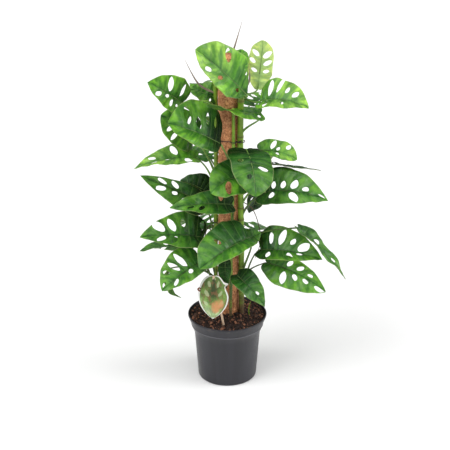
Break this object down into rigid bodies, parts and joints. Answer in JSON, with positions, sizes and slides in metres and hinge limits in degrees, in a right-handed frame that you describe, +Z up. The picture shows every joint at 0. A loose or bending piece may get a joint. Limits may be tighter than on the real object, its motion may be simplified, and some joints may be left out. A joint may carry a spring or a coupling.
{
  "type": "potted monstera plant",
  "caption": "Climbing monstera with perforated leaves on stems tied to a coir pole, in a dark grey nursery pot of soil with a leaf-shaped care card.",
  "frame": {"origin": "centre of the pot's underside, on the surface that it stands on", "axes": "+Z up along the pole, -Y towards the front of the plant, +X to the right seen from the front"},
  "size_m": [0.4314, 0.3185, 0.7861],
  "materials": {
    "pot": "satin dark grey",
    "soil": "loose bark and peat, matte",
    "coir": "matted coconut fibre",
    "pole_core": "plain timber",
    "stem": "smooth green bark",
    "leaf_young": "satin, bright yellow green",
    "leaf_mature": "satin, deep green",
    "spear": "dull grey green",
    "aerial_root": "dull brown bark",
    "tie": "dull coated wire",
    "label_card": "printed, satin",
    "label_stick": "bare pale wood"
  },
  "bodies": {
    "root": {"coir_sleeve": "coir", "label_card": "label_card", "label_stick": "label_stick", "leaf_back_centre": "leaf_mature", "leaf_back_centre_low": "leaf_mature", "leaf_back_high": "leaf_young", "leaf_back_low_left": "leaf_mature", "leaf_back_low_right": "leaf_mature", "leaf_back_mid_left": "leaf_mature", "leaf_back_mid_right": "leaf_mature", "leaf_back_top_left": "leaf_young", "leaf_back_top_right": "leaf_young", "leaf_centre_left": "leaf_young", "leaf_centre_low": "leaf_mature", "leaf_centre_round": "leaf_young", "leaf_front_low": "leaf_mature", "leaf_left_behind": "leaf_young", "leaf_left_bottom": "leaf_mature", "leaf_left_cup": "leaf_young", "leaf_left_curl": "leaf_mature", "leaf_left_long": "leaf_young", "leaf_left_low": "leaf_mature", "leaf_left_low_back": "leaf_mature", "leaf_left_mid": "leaf_mature", "leaf_left_mid_back": "leaf_mature", "leaf_left_mid_low": "leaf_mature", "leaf_left_top_small": "leaf_young", "leaf_narrow_low": "leaf_mature", "leaf_pole_cross": "leaf_young", "leaf_right_bottom": "leaf_mature", "leaf_right_dark": "leaf_mature", "leaf_right_edge": "leaf_mature", "leaf_right_low": "leaf_mature", "leaf_right_shoulder": "leaf_mature", "leaf_right_twist": "leaf_mature", "leaf_right_wide": "leaf_mature", "leaf_small_lobe": "leaf_mature", "leaf_top_front": "leaf_young", "leaf_upper_left": "leaf_young", "leaf_upper_right": "leaf_young", "leaf_upright": "leaf_young", "pole_core": "pole_core", "pot": "pot", "root_left": "aerial_root", "root_right": "aerial_root", "soil": "soil", "spear_left": "spear", "spear_right": "spear", "spear_top": "spear", "stem_back": "stem", "stem_front": "stem", "stem_left": "stem", "stem_right": "stem", "tie_lower": "tie", "tie_upper": "tie"}
  },
  "joints": []
}
